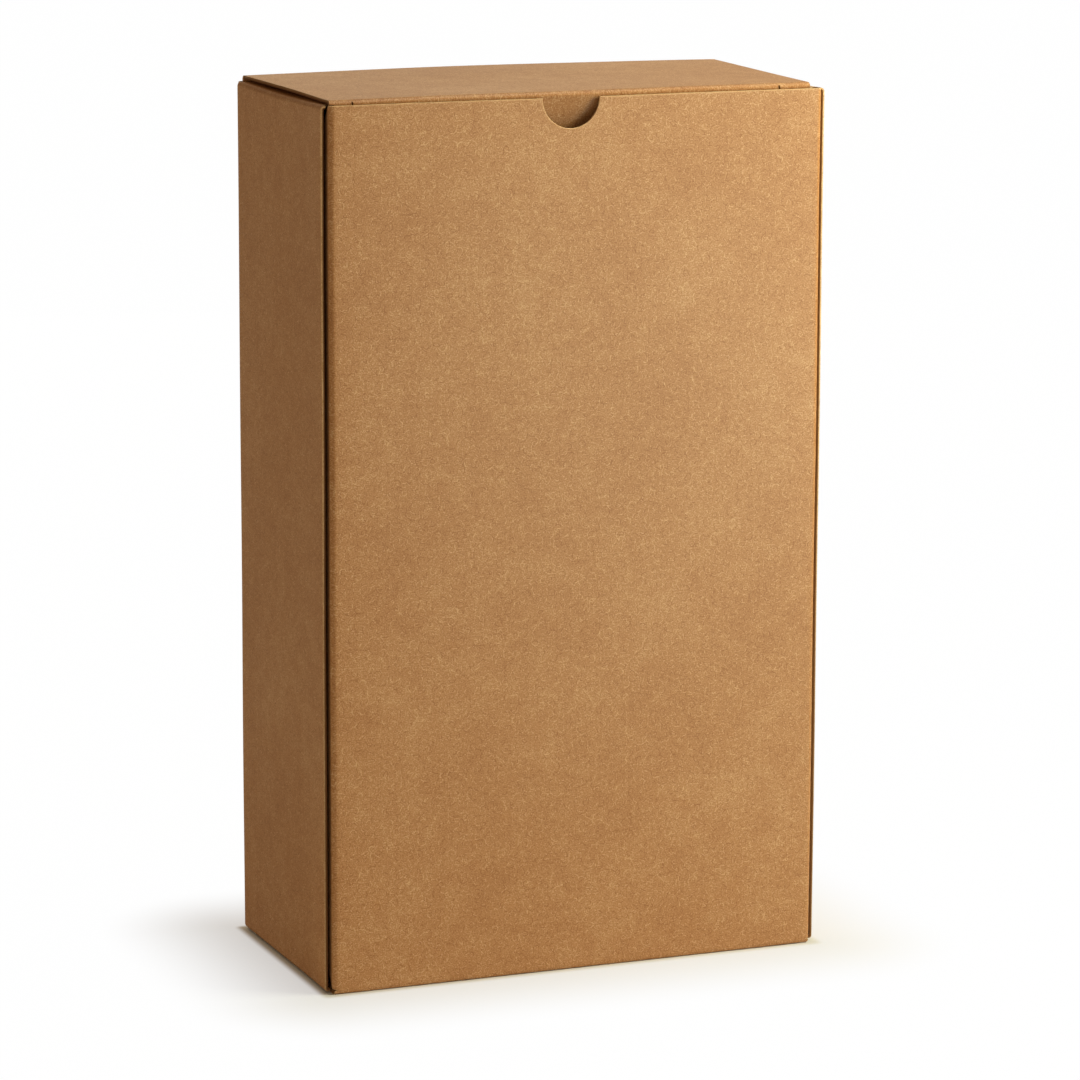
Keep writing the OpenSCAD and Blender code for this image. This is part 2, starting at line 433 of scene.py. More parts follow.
# %% Shared grid lines
NEAR = 0.01
TURN = np.radians(line(0, (90, 6)))
DUST_LENGTH, DUST_TAPER, DUST_CORNER = 60.0, 9.0, 8.0
DUST_CLEAR_FRONT, DUST_CLEAR_BACK = 7.0, 1.5
DUST_END = BOX_W / 2 - DUST_LENGTH
DUST_FRONT = BOARD + DUST_CLEAR_FRONT - BOX_D / 2
DUST_BACK = BOX_D / 2 - BOARD - DUST_CLEAR_BACK
SIDE_Z = line(SIDE_LOW, (SIDE_LOW + 1, 1), (SIDE_HIGH - 1, 24), (SIDE_HIGH, 1))
SIDE_Y = line(
    SIDE_FRONT, (SIDE_FRONT + 0.6, 1), (DUST_FRONT, 2), (DUST_FRONT + DUST_TAPER, 2),
    (DUST_BACK - DUST_CORNER, 8), (DUST_BACK, 2), (FOLD_Y, 1),
)
NOTCH_X, NOTCH_R = -4.0, 11.6
NOTCH_LEFT, NOTCH_RIGHT, NOTCH_LOW = NOTCH_X - 19.0, NOTCH_X + 19.0, TOP_CUT - 21.0
FRONT_COLUMNS = line(
    -FRONT_X, (1 - FRONT_X, 1), (NOTCH_LEFT, 8), (NOTCH_RIGHT, 16), (FRONT_X - 1, 9), (FRONT_X, 1),
)
BASE_COLUMNS = np.concatenate([[-BASE_X, -CREST_X], FRONT_COLUMNS, [CREST_X, BASE_X]])
BACK_COLUMNS = np.concatenate([[-BACK_X], BASE_COLUMNS, [BACK_X]])


def between(values, low, high):
    """Marks the values between two places, both ends with them."""
    return (values >= low - NEAR) & (values <= high + NEAR)


print(len(SIDE_Z), "rows up a side wall,", len(FRONT_COLUMNS), "columns across the front wall")

# %% [markdown]
# The back wall
#
# The back wall is a plain panel, and one grid serves for all of it. Its top edge goes on a little into a
# crest, where the lid's crease starts.

# %% Back wall
def back_wall():
    """A flat grid in X and Z, whose rows are those of the side walls and of the corners, and the crest."""
    short_rows = np.arange(len(TURN)) / (len(TURN) - 1)
    low = BASE_FOLD_Z + (SIDE_LOW - BASE_FOLD_Z) * short_rows
    high = SIDE_HIGH + (TOP_CUT - SIDE_HIGH) * short_rows
    rows = np.concatenate([low[:-1], SIDE_Z, high[1:]])
    wall = patch(BACK_COLUMNS[None, :], BACK_Y, rows[:, None], BACK_COLUMNS[None, :], rows[:, None])
    crest_rows = np.array([TOP_CUT, TOP_CUT + 0.4])
    inner = BACK_COLUMNS[2:-2]
    crest = patch(inner[None, :], BACK_Y, crest_rows[:, None], inner[None, :], crest_rows[:, None])
    return [wall, crest]


print("the back wall's grid has", back_wall()[0].shape[:2], "rows and columns")

# %% [markdown]
# Upright creases with crushed ends
#
# The back wall turns into each side wall over an upright crease. At its ends three folds come together
# and real board is crushed: the corner is drawn in. A part of a sphere would look moulded there, so the
# radius shrinks on the side wall's side alone.

# %% Upright creases
def crushed_crease(side):
    """A quarter round from side wall to back wall. At its ends the radius shrinks with the squared cosine
    of the turn, and the height grows by the fold's sine on the side wall and evenly on the back wall."""
    turn = TURN[None, :]
    u = side * (BACK_X + FOLD * (QUARTER - turn))
    share = np.cos(turn) ** 2
    grids = []
    ends = ((SIDE_HIGH, 1, TOP_CUT - SIDE_HIGH), (SIDE_LOW, -1, SIDE_LOW - BASE_FOLD_Z))
    bend = TURN[:, None]
    for start, up, reach in ends:
        radius = FOLD * (1 - share * (1 - np.cos(bend)))
        height = share * FOLD * np.sin(bend) + (1 - share) * reach * bend / QUARTER
        z = start + up * height
        v = start + up * FOLD * bend + 0 * share
        x = side * (BACK_X + radius * np.cos(turn))
        grids.append(patch(x, FOLD_Y + radius * np.sin(turn), z, u, v, 1.0))
    z = SIDE_Z[:, None]
    x = side * (BACK_X + FOLD * np.cos(turn))
    grids.append(patch(x, FOLD_Y + FOLD * np.sin(turn), z, u, z, np.sin(2 * turn)))
    return grids


print("patches in an upright crease:", len(crushed_crease(1)))

# %% [markdown]
# Side walls and dust flaps
#
# Each side wall folds inwards at the top and at the bottom into a dust flap, which lies under the lid or
# on the base. Its front edge tapers and its back corner is round. Both folds get painted shade, a value a
# little below 0, as the upper ones lie in the shade of the lid's edge.

# %% Side walls with their dust flaps
# Painted shade on the side walls' upper and lower folds
DUST_SHADE = -0.25


def side_wall(side):
    """A flat grid in Y and Z, with a quarter round at its top and at its bottom."""
    y = SIDE_Y[None, :]
    u = side * (BACK_X + FOLD_LENGTH + FOLD_Y - y)
    grids = [patch(side * SIDE_X, y, SIDE_Z[:, None], u, SIDE_Z[:, None])]
    bend = TURN[:, None]
    for start, up in ((SIDE_HIGH, 1), (SIDE_LOW, -1)):
        x = side * (BACK_X + FOLD * np.cos(bend))
        z = start + up * FOLD * np.sin(bend)
        grids.append(patch(x, y, z, u, start + up * FOLD * bend, DUST_SHADE * np.sin(2 * bend)))
    return grids


def dust_flap(side, height, up):
    """Rows from the fold to the flap's end, each from a front edge that tapers evenly to a back edge that
    is drawn in at its round corner, by one minus the cosine."""
    columns = SIDE_Y[between(SIDE_Y, DUST_FRONT, DUST_BACK)]
    share = ((columns - DUST_FRONT) / (DUST_BACK - DUST_FRONT))[None, :]
    round_start = DUST_END + DUST_CORNER
    turn = TURN[1:]
    straight = line(BACK_X, (BACK_X - 1, 1), (round_start, 6))
    rows = np.concatenate([straight, round_start - DUST_CORNER * np.sin(turn)])
    drawn_in = np.concatenate([0 * straight, DUST_CORNER * (1 - np.cos(turn))])
    front = DUST_FRONT + DUST_TAPER * (BACK_X - rows) / (BACK_X - DUST_END)
    back = DUST_BACK - drawn_in
    y = front[:, None] + share * (back - front)[:, None]
    u = side * (BACK_X + FOLD_LENGTH + FOLD_Y - y)
    edge = SIDE_HIGH if up > 0 else SIDE_LOW
    v = edge + up * (FOLD_LENGTH + BACK_X - rows)[:, None]
    return patch(side * rows[:, None], y, height, u, v)


print("a dust flap reaches", round(BACK_X - DUST_END, 1), "mm in from its fold")

# %% [markdown]
# The base
#
# The base swings forward from the back wall and turns up into the front wall. On the blank it lies between
# the two, so its flat place goes on from the back wall's.

# %% Base
FRONT_V = BASE_FOLD_Z - 2 * FOLD_LENGTH - 2 * FOLD_Y


def base():
    """A flat grid, and a quarter round at the back and at the front by sine and cosine of the bend."""
    bend = TURN[:, None]
    x = BASE_COLUMNS[None, :]
    back_y = FOLD_Y + FOLD * np.cos(bend)
    back_z = BASE_FOLD_Z - FOLD * np.sin(bend)
    back_fold = patch(x, back_y, back_z, x, BASE_FOLD_Z - FOLD * bend, np.sin(2 * bend))
    y = line(FOLD_Y, (FOLD_Y - 1, 1), (1 - FOLD_Y, 12), (-FOLD_Y, 1))[:, None]
    floor = patch(x, y, BASE_Z, x, BASE_FOLD_Z - FOLD_LENGTH - FOLD_Y + y)
    x = BASE_COLUMNS[None, 1:-1]
    front_y = -FOLD_Y - FOLD * np.sin(bend)
    front_z = BASE_FOLD_Z - FOLD * np.cos(bend)
    v = BASE_FOLD_Z - FOLD_LENGTH - 2 * FOLD_Y - FOLD * bend
    return [back_fold, floor, patch(x, front_y, front_z, x, v, np.sin(2 * bend))]


print("on the blank the front wall starts at", round(FRONT_V), "mm")

# %% [markdown]
# The front wall and its thumb notch
#
# A thumb opens the carton at the half-round notch in the top edge. A Boolean cut would leave slivers. So
# the notch has its own ring of cells, from the half circle out to a rectangle that fits the wall's grid.
# The rim by the cut edge is painted paler: a painted highlight for the light on its rounded top.

# %% Front wall
# Painted highlight along the front wall's top rim: where it starts and how strong it is
RIM_LOW, RIM_LIGHT = TOP_CUT - 0.9, 3.2
RING_SHARES = np.array([0, 0.05, 0.13, 0.26, 0.45, 0.7, 1.0])
FRONT_ROWS = line(BASE_FOLD_Z, (BASE_FOLD_Z + 1, 1), (NOTCH_LOW, 22), (RIM_LOW, 8), (TOP_CUT, 2))


def rim_highlight(z):
    """The rim's painted highlight: it grows by a smooth step up to the cut edge."""
    return RIM_LIGHT * ramp(z, RIM_LOW, TOP_CUT)


def front_flat(x, z, light=0.0):
    """A patch in the plane of the front wall, with the painted highlight of its rim, or a given painted light
    if that is more.
    """
    return patch(x, FRONT_Y, z, x, FRONT_V - (z - BASE_FOLD_Z), np.maximum(rim_highlight(z), light))


def front_wall():
    """Flat grids below, left and right of the notch, and a ring whose points lie at shares of the way from
    a half circle out to a rectangle."""
    low = FRONT_ROWS[between(FRONT_ROWS, BASE_FOLD_Z, NOTCH_LOW)][:, None]
    high = FRONT_ROWS[between(FRONT_ROWS, NOTCH_LOW, TOP_CUT)]
    left = FRONT_COLUMNS[between(FRONT_COLUMNS, -FRONT_X, NOTCH_LEFT)]
    right = FRONT_COLUMNS[between(FRONT_COLUMNS, NOTCH_RIGHT, FRONT_X)]
    below = FRONT_COLUMNS[between(FRONT_COLUMNS, NOTCH_LEFT, NOTCH_RIGHT)]
    down, up = high[::-1], high[1:]
    frame_x = np.concatenate([np.full(len(down) - 1, NOTCH_LEFT), below, np.full(len(up), NOTCH_RIGHT)])
    frame_z = np.concatenate([down[:-1], np.full(len(below), NOTCH_LOW), up])
    angle = np.linspace(math.pi, 2 * math.pi, len(frame_x))
    round_x = NOTCH_X + NOTCH_R * np.cos(angle)
    round_z = TOP_CUT + NOTCH_R * np.sin(angle)
    share = RING_SHARES[:, None]
    ring_x = round_x + share * (frame_x - round_x)
    ring_z = round_z + share * (frame_z - round_z)
    # The notch's own edge gets the rim's painted highlight
    grids = [front_flat(FRONT_COLUMNS[None, :], low), front_flat(ring_x, ring_z, RIM_LIGHT * (share == 0))]
    return grids + [front_flat(columns[None, :], high[:, None]) for columns in (left, right)]


print("the notch is", 2 * NOTCH_R, "mm wide")

# %% [markdown]
# The flaps at the front wall's sides
#
# The front wall's flaps go back inside the side walls, which leaves the narrow dark seam down each front
# corner. Their outer faces are painted darker, a painted shade that deepens the seam. The open lid lets one
# look in, so they have their full depth and bevelled ends.

# %% Front flaps
# Painted shade on the flaps' outer faces, seen through the seams
FLAP_DEPTH, BEVEL_DEPTH, SEAM_SHADE = 22.0, 14.0, -0.5
FLAP_END, BEVEL_Y = FLAP_DEPTH - BOX_D / 2, 6.4 - BOX_D / 2


def front_flap(side):
    """A quarter of an ellipse, then a flat flap. Its ends are cut at two slants, by straight lines between
    three depths."""
    turn = np.radians(line(0, (90, 9)))
    first = BASE_FOLD_Z + (CORNER_LOW - BASE_FOLD_Z) * np.sin(turn) ** 2
    z = np.concatenate([first[None, :], FRONT_ROWS[1:, None] + 0 * turn])
    x, y = FRONT_X + BEND_WIDE * np.sin(turn), FRONT_Y + BEND_DEEP * (1 - np.cos(turn))
    u = FRONT_X + np.concatenate([[0], np.cumsum(np.hypot(np.diff(x), np.diff(y)))])
    # Near the top the fold gets the rim's painted highlight
    fold = patch(side * x, y, z, side * u, FRONT_V - (z - BASE_FOLD_Z), rim_highlight(z))
    start, fold_end = FRONT_Y + BEND_DEEP, u[-1]
    y = line(start, (start + 1, 1), (BEVEL_Y, 2), (FLAP_END, 3))[None, :]
    cut = np.interp(y, [start, BEVEL_Y, FLAP_END], [0, BEVEL_DEPTH / 2, BEVEL_DEPTH])
    low, high = CORNER_LOW + cut, TOP_CUT - cut
    share = (z[:, -1:] - CORNER_LOW) / (TOP_CUT - CORNER_LOW)
    z = low + share * (high - low)
    u = side * (fold_end + y - start)
    return [fold, patch(side * FLAP_X, y, z, u, FRONT_V - (z - BASE_FOLD_Z), SEAM_SHADE)]


print("the dark seam is", round(SIDE_X - BOARD - FLAP_X, 2), "mm wide")

# %% [markdown]
# The body in one piece
#
# All patches are joined and made thick together, so every fold is one unbroken surface. The helpers take
# the side as -1 or 1, so the right side is the left one mirrored.

# %% Put the carton's body together
patches = back_wall() + base() + front_wall()
for side in (-1, 1):
    patches += crushed_crease(side) + side_wall(side) + front_flap(side)
    patches += [dust_flap(side, DUST_TOP, 1), dust_flap(side, DUST_LOW, -1)]
body_board = board_piece("body_board", patches, (40, FRONT_Y, 150), (0, -1, 0))

# %% [markdown]
# Sizes of the lid
#
# The lid is a panel, a round fold and a tuck flap that slides in behind the front wall. Its right side is
# trimmed at a slant. The flap leans inwards, because its lower edge has to swing past the front wall. A
# short lock slit at each end of the fold parts it from the flap.

# %% Sizes of the lid
LID_TRIM, HINGE_GAP, TUCK_GAP, TUCK_SIDE = 4.0, 0.2, 0.4, 1.0
TUCK_DEPTH, TUCK_CORNER, LEAN_DEGREES = 25.0, 13.0, 16
TUCK_LEAN = math.radians(LEAN_DEGREES)
LID_LEFT, LID_RIGHT_BACK = LID_INSET - BOX_W / 2, BOX_W / 2 - LID_INSET
LID_RIGHT_FRONT = LID_RIGHT_BACK - LID_TRIM
LID_BACK = BACK_Y - HALF_BOARD - HINGE_GAP
LID_END_Y = LID_BACK - 0.5
TUCK_FACE = BOARD + TUCK_GAP - BOX_D / 2
LID_FOLD_Y, LID_FOLD_Z = TUCK_FACE + LID_FOLD + HALF_BOARD, BOX_H - LID_FOLD - HALF_BOARD
TUCK_LEFT = TUCK_SIDE + HALF_BOARD - FLAP_X
TUCK_RIGHT = -TUCK_LEFT - LID_TRIM
SLIT_LEFT, SLIT_RIGHT = LID_LEFT + 9, LID_RIGHT_FRONT - 13
SLIT_TOP, SLIT_GAP = 0.7, 0.3
LID_V = CREST_Z + FOLD_LENGTH + FOLD_Y
print("the tuck flap is", round(TUCK_RIGHT - TUCK_LEFT, 2), "mm wide and", TUCK_DEPTH, "mm deep")

# %% [markdown]
# Columns of the lid
#
# The same columns run from the panel over the fold into the tuck flap, close together at its round corners.
# A pair of them marks the end of each slit: cells between columns are left out, which needs no cutting.

# %% Columns of the lid
TICK = 0.25
# Degrees round the tuck flap's left and right corner at which a column stands
LEFT_STEPS, RIGHT_STEPS = (90, 76, 61, 45, 35, 12, 0), (22, 38, 54, 68, 79, 90)


def lid_right(y):
    """X of the lid's right edge, on a straight slant from the hinge to the front."""
    share = (LID_BACK - y) / (LID_BACK - TUCK_FACE)
    return LID_RIGHT_BACK + share * (LID_RIGHT_FRONT - LID_RIGHT_BACK)


def apart(grid, columns, gaps):
    """The parts of a grid that are left when the columns between each pair of places are taken out."""
    stops = [columns[0]] + [place for gap in gaps for place in gap] + [columns[-1]]
    pairs = [pair for pair in zip(stops[::2], stops[1::2]) if pair[1] > pair[0]]
    return [grid[:, between(columns, low, high)] for low, high in pairs]


def lid_columns():
    """Places in X over the tuck flap: even steps, and at the corners the corner's radius less its sine."""
    left = TUCK_LEFT + TUCK_CORNER * (1 - np.sin(np.radians(LEFT_STEPS)))
    right = TUCK_RIGHT - TUCK_CORNER * (1 - np.sin(np.radians(RIGHT_STEPS)))
    ticks = [SLIT_LEFT - TICK, SLIT_LEFT + TICK, SLIT_RIGHT - TICK, SLIT_RIGHT + TICK]
    middle = line(left[-1], (SLIT_RIGHT - 3, 16))[1:]
    return np.sort(np.concatenate([left, ticks, middle, right]))


def tuck_depth(x):
    """Depth of the tuck flap below its fold, less at the two corners by the rule of the circle."""
    middle, half = (TUCK_LEFT + TUCK_RIGHT) / 2, (TUCK_RIGHT - TUCK_LEFT) / 2
    into = np.maximum(np.abs(x - middle) - half + TUCK_CORNER, 0)
    share = np.clip(into / TUCK_CORNER, 0, 1)
    return TUCK_DEPTH - TUCK_CORNER * (1 - np.sqrt(1 - share**2))


print(len(lid_columns()), "columns across the tuck flap")

# %% [markdown]
# Panel, round fold and tuck flap
#
# The upper part of the fold is a little paler: partly because the paper is stretched there, and partly a
# painted highlight for the light on the round. Lower down and on the flap it lies in the shade of the front
# wall, and painted shade makes it slightly darker.

# %% Lid
# Painted shade of the tuck flap and of the fold's lower part, then the fold's paleness, partly a painted
# highlight
TUCK_SHADE, FOLD_SHADE, FOLD_LIGHT = -0.15, 0.18, 1.2
# Turns of the fold in radians over which its light ends and its shade begins
LIGHT_END, SHADE_START = (2.5, 2.9), (2.65, 2.95)


def lid_panel(columns, front_right):
    """The flat panel. To the right its columns spread with the lid's slanted edge, in even shares."""
    y = line(LID_END_Y, (LID_FOLD_Y + 1, 14), (LID_FOLD_Y, 1))[:, None]
    x = columns + (lid_right(y) - front_right) * np.clip(columns / front_right, 0, 1)
    return patch(x, y, LID_Z, x, LID_V - y)


def lid_round(degrees, x):
    """A strip of the round fold between two turns, by sine and cosine, with its painted light and painted
    shade.
    """
    turn = np.radians(degrees)[:, None]
    y, z = LID_FOLD_Y + LID_FOLD * np.cos(turn), LID_FOLD_Z + LID_FOLD * np.sin(turn)
    light = np.maximum(FOLD_LIGHT * np.sin(2 * (turn - QUARTER)), 0) * (1 - ramp(turn, *LIGHT_END))
    shade = FOLD_SHADE * ramp(turn, *SHADE_START)
    return patch(x, y, z, x, LID_V - LID_FOLD_Y + LID_FOLD * (turn - QUARTER), light - shade)


def tuck_strip(down, x):
    """A strip of the tuck flap between two depths below the fold, along the flap's lean."""
    y = LID_FOLD_Y - LID_FOLD * math.cos(TUCK_LEAN) + down * math.sin(TUCK_LEAN)
    z = LID_FOLD_Z - LID_FOLD * math.sin(TUCK_LEAN) - down * math.cos(TUCK_LEAN)
    v = LID_V - LID_FOLD_Y + LID_FOLD * (QUARTER + TUCK_LEAN) + down
    return patch(x, y, z, x, v, TUCK_SHADE)


def lid_patches():
    """Panel and fold over the lid's whole width, then the tuck flap, whose depth depends on X."""
    tuck_x = lid_columns()
    front_right = lid_right(LID_FOLD_Y)
    columns = np.concatenate([[LID_LEFT], tuck_x, [front_right]])
    ticks = [(place - TICK, place + TICK) for place in (SLIT_LEFT, SLIT_RIGHT)]
    grids = [lid_panel(columns, front_right)]
    grids += [lid_round(line(90, (145, 5)), columns)]
    grids += apart(lid_round(line(145, (188, 4)), columns), columns, ticks)
    grids += apart(lid_round(line(188, (180 + LEAN_DEGREES, 1)), tuck_x), tuck_x, ticks)
    slit_low = SLIT_TOP + SLIT_GAP
    share = line(0, (0.04, 1), (0.25, 3), (0.9, 6), (1, 1))[:, None]
    held = [(tuck_x[0], SLIT_LEFT + TICK), (SLIT_RIGHT - TICK, tuck_x[-1])]
    grids += apart(tuck_strip(line(0, (SLIT_TOP, 1))[:, None], tuck_x), tuck_x, ticks)
    grids += apart(tuck_strip(line(SLIT_TOP, (slit_low, 1))[:, None], tuck_x), tuck_x, held)
    return grids + [tuck_strip(slit_low + share * (tuck_depth(tuck_x) - slit_low), tuck_x)]


lid_board = board_piece("lid_board", lid_patches(), (0, 0, LID_Z), (0, 0, 1))

# %% [markdown]
# The hinge is a crease
#
# Lid and back wall are the same sheet, so between them there is only a crease. It is a narrow strip of its
# own here. Its profile is a quarter round, a hair thicker than the board and tapered into it, so no seam
# opens.

# %% Crease strip between back wall and lid
CREASE_PROUD, CREASE_ARM, CREASE_X, CREASE_LIGHT = 0.025, 0.9, CREST_X + 0.05, 0.8
TAPER_LENGTH, TAPER_DEPTH = 0.35, 0.25


def crease_points():
    """A closed profile in Y and Z, carried along X: a path of two straight arms and a quarter round, half
    a thickness out along its normal, and back along the inner side."""
    arm = line(0, (TAPER_LENGTH, 2), (CREASE_ARM, 2))
    turn = TURN[1:-1]
    path_z = np.concatenate([arm - CREASE_ARM, FOLD * np.sin(turn), 0 * arm + FOLD])
    path_y = np.concatenate([0 * arm + FOLD, FOLD * np.cos(turn), -arm])
    normal_y = np.concatenate([0 * arm + 1, np.cos(turn), 0 * arm])
    normal_z = np.concatenate([0 * arm, np.sin(turn), 0 * arm + 1])
    thin = HALF_BOARD - TAPER_DEPTH
    taper = thin + (TAPER_DEPTH + CREASE_PROUD) * np.clip(arm / TAPER_LENGTH, 0, 1)
    half = np.concatenate([taper, 0 * turn + HALF_BOARD + CREASE_PROUD, taper[::-1]])
    along = np.concatenate([arm, CREASE_ARM + FOLD * turn, CREASE_ARM + FOLD_LENGTH + arm])
    outer_y, outer_z = path_y + half * normal_y, path_z + half * normal_z
    inner_y, inner_z = path_y - half * normal_y, path_z - half * normal_z
    loop_y = np.concatenate([outer_y, inner_y[::-1]])
    loop_z = np.concatenate([outer_z, inner_z[::-1]])
    loop_v = CREST_Z - CREASE_ARM + np.concatenate([along, along[::-1]])
    x = line(-CREASE_X, (CREASE_X, 40))[:, None]
    return patch(x, FOLD_Y + loop_y, CREST_Z + loop_z, x, loop_v, CREASE_LIGHT)


def crease_strip():
    """The profile's rows become a closed tube, with a fan of long faces at each end."""
    grid = crease_points()
    rows, columns = grid.shape[:2]
    start = np.arange(rows - 1)[:, None] * columns
    here, beside = np.arange(columns), np.roll(np.arange(columns), -1)
    cells = np.stack([start + here, start + columns + here, start + columns + beside, start + beside], -1)
    one = np.arange(columns // 2 - 1)
    two = columns - 1 - one
    cap = np.stack([one, one + 1, two - 1, two], -1)
    cells = np.concatenate([cells.reshape(-1, 4), cap, cap[:, ::-1] + (rows - 1) * columns])
    points = grid.reshape(-1, 6)
    places = shifted(points[:, :3])
    cells = outward(cells, places, (0, BACK_Y + HALF_BOARD, CREST_Z - 0.3), (0, 1, 0))
    return fill_mesh("crease_board", places, points[:, 3:6], cells, np.zeros(len(cells), int))


crease_board = crease_strip()

# %% [markdown]
# Short forms for shader nodes
#
# Written out in Python, every node of a material takes several lines. These helpers make a node, fill its
# sockets and give back its output in one line, so that a material reads like a sum.

# %% Helpers for materials
def node(tree, kind, inputs=(), **settings):
    """A node with its settings and sockets filled: a socket takes a value or another node's socket."""
    made = tree.nodes.new(kind)
    for name, value in settings.items():
        setattr(made, name, value)
    for key, value in dict(inputs).items():
        if isinstance(value, bpy.types.NodeSocket):
            tree.links.new(value, made.inputs[key])
        else:
            made.inputs[key].default_value = value
    return made


def math_node(tree, operation, first, second=0.0, third=0.0):
    """One sum of a Math node."""
    return node(tree, "ShaderNodeMath", {0: first, 1: second, 2: third}, operation=operation).outputs[0]


def vector_node(tree, operation, first, second=(0, 0, 0)):
    """One sum of a Vector Math node."""
    return node(tree, "ShaderNodeVectorMath", {0: first, 1: second}, operation=operation).outputs[0]


def noise(tree, place, scale, detail=2.0, roughness=0.5, distortion=0.0):
    """Noise over a place; scale is in waves a metre."""
    inputs = {"Vector": place, "Scale": scale, "Detail": detail, "Roughness": roughness}
    inputs["Distortion"] = distortion
    return node(tree, "ShaderNodeTexNoise", inputs).outputs[0]


def band(tree, value, low, high, to_low=0.0, to_high=1.0):
    """Spreads a range of values smoothly over another one."""
    inputs = {"Value": value, "From Min": low, "From Max": high, "To Min": to_low, "To Max": to_high}
    return node(tree, "ShaderNodeMapRange", inputs, interpolation_type="SMOOTHSTEP").outputs[0]


def scattered(tree, place, scale, dimensions):
    """The distance to the nearest of many scattered points, and that point's random number."""
    inputs = {"Vector": place, "Scale": scale, "Randomness": 1.0}
    cells = node(tree, "ShaderNodeTexVoronoi", inputs, voronoi_dimensions=dimensions)
    chance = node(tree, "ShaderNodeSeparateColor", {0: cells.outputs["Color"]}).outputs[0]
    return cells.outputs["Distance"], chance


def mix_colour(tree, factor, first, second):
    """Two colours mixed; first and second are colours or sockets."""
    inputs = {"Factor": factor, 6: first, 7: second}
    return node(tree, "ShaderNodeMix", inputs, data_type="RGBA").outputs[2]


def board_material(name, level):
    """A new material with its nodes and its shader, which has a given specular level."""
    material = bpy.data.materials.new(name)
    material.use_nodes = True
    tree = material.node_tree
    shader = tree.nodes["Principled BSDF"]
    shader.inputs["Specular IOR Level"].default_value = level
    print("material", name)
    return material, tree, shader


def blank_values(tree):
    """The flat place on the blank, and the value of fold paleness, painted highlight and painted shade that
    comes third in the same attribute.
    """
    place = node(tree, "ShaderNodeAttribute", attribute_name="blank").outputs["Vector"]
    return place, node(tree, "ShaderNodeSeparateXYZ", {0: place}).outputs[2]


print("helpers for nodes are ready")

# %% [markdown]
# Curly fibres
#
# Seen close, kraft paper is a felt of fine curly fibres, some paler and some darker. Noise alone gives soft
# spots and no lines. So a Voronoi pattern gives scattered middles here, and a thin ring round each of them
# is cut into short arcs, in several layers.

# %% Curly fibres
CURL_BEND, CURL_HALF_WIDTH = 0.0012, 0.0002
# Where each layer of curls starts on the sheet, its points a metre, and how much paler or darker it is
CURL_LAYERS = (
    ((0, 0, 0), 260, 0.32),
    ((3.1, 1.7, 0), 300, 0.29),
    ((1.7, 4.3, 0), 230, -0.35),
    ((5.9, 0.7, 0), 320, -0.32),
    ((2.3, 5.1, 0), 480, 0.16),
)


def curls(tree, place, start, scale):
    """Thin rings at a random distance round the points of a Voronoi pattern, bent a little by one noise
    and cut into short arcs by another. Scale is in points a metre."""
    place = vector_node(tree, "ADD", place, start)
    bend = node(tree, "ShaderNodeTexNoise", {"Vector": place, "Scale": 1.5 * scale, "Detail": 1.0}).outputs[1]
    inputs = {0: bend, 1: (CURL_BEND, CURL_BEND, 0), 2: place}
    bent = node(tree, "ShaderNodeVectorMath", inputs, operation="MULTIPLY_ADD").outputs[0]
    distance, chance = scattered(tree, bent, scale, "2D")
    radius = math_node(tree, "MULTIPLY_ADD", chance, 0.4, 0.2)
    away = math_node(tree, "ABSOLUTE", math_node(tree, "SUBTRACT", distance, radius))
    thin = CURL_HALF_WIDTH * scale
    arcs = band(tree, noise(tree, place, 1.6 * scale, 0.0), 0.5, 0.58)
    return math_node(tree, "MULTIPLY", band(tree, away, thin, 0.3 * thin), arcs)


print(len(CURL_LAYERS), "layers of curls, each line", 2000 * CURL_HALF_WIDTH, "mm wide")

# %% [markdown]
# Kraft board
#
# Unbleached kraft is warm brown, with soft clouds, a slow drift of tone and now and then a dark speck. A
# picture of paper could be laid on, but it would repeat. This pattern is computed from the place on the
# flat blank, so it never repeats and doesn't jump at a fold.

# %% Kraft material
# Waves a metre, detail, roughness and distortion of the slow drift, the clouds and the grain
DRIFT, CLOUDS, GRAIN = (16, 4.0, 0.6), (110, 4.0, 0.62, 0.2), (1900, 1.0, 0.7)
MEAN_TONE, CREASE_AND_PAINTED_LIGHT_TONE, SPECK_TONE, SPECKS = 0.47, 0.10, 0.45, 260


